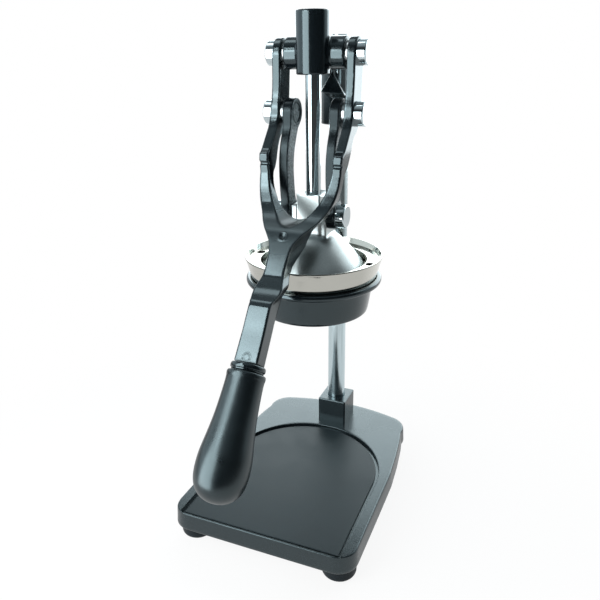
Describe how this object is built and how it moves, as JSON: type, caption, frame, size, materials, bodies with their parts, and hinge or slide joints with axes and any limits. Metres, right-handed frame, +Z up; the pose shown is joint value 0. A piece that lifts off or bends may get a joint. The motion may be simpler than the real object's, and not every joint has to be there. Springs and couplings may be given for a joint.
{
  "type": "lever citrus juice press",
  "caption": "Bench lever citrus press: base with cup mat, column, bowl with strainer and reaming cone, pressing bell on a guided rod, two links and a forked hand lever with a grip.",
  "frame": {"origin": "on the bench under the feet, at the middle of the part's footprint, 54.6 mm in front of the axis of the plunger rod", "axes": "+X to the right as seen from the front, -Y towards the user and the hand lever, +Z up along the column"},
  "size_m": [0.1764, 0.3118, 0.4513],
  "materials": {
    "gunmetal_enamel": "semi-gloss hammered enamel",
    "chrome": "polished",
    "steel": "satin",
    "polished_aluminium": "polished casting",
    "cast_steel": "rough grey casting",
    "black_rubber": "matte",
    "dark_grip": "satin, slightly glossy",
    "bronze": "turned"
  },
  "bodies": {
    "frame": {"base_plate": "gunmetal_enamel", "cup_mat": "black_rubber", "rubber_feet": "black_rubber", "foot_screws": "steel", "column": "chrome", "column_washer": "steel", "column_nut": "steel", "socket_set_screw": "steel", "bowl_holder": "gunmetal_enamel", "holder_clamp_screw": "steel", "juice_bowl": "steel", "bowl_funnel": "steel", "spout_tube": "steel", "strainer": "steel", "head_casting": "gunmetal_enamel", "head_set_screws": "steel", "guide_bushes": "bronze", "top_pins": "steel", "top_caps": "chrome", "top_washers": "steel"},
    "lever": {"yoke_lever": "gunmetal_enamel", "mid_pins": "steel", "mid_caps": "chrome", "mid_washers": "steel", "grip_ferrule": "gunmetal_enamel", "grip": "dark_grip"},
    "plunger": {"plunger_rod": "chrome", "press_bell": "polished_aluminium", "low_pins": "steel", "low_caps": "chrome"},
    "links": {"link_left": "cast_steel", "link_right": "cast_steel", "mid_pin_ends": "steel"}
  },
  "joints": [
    {"name": "lever_swing", "type": "hinge", "parent": "frame", "child": "lever", "pos_m": [0, 0.06693, 0.4184], "axis": [-1, 0, 0], "range_deg": [0, 95]},
    {"name": "plunger_slide", "type": "slide", "parent": "frame", "child": "plunger", "axis": [0, 0, 1], "range_m": [0, 0.0638]},
    {"name": "link_swing", "type": "hinge", "parent": "plunger", "child": "links", "pos_m": [0, 0.04953, 0.2836], "axis": [1, 0, 0], "range_deg": [0, 27.7]}
  ],
  "couplings": [
    {"joint": "plunger_slide", "follows": "lever_swing", "m_per_rad": 0.03843},
    {"joint": "link_swing", "follows": "lever_swing", "ratio": 0.29036}
  ]
}
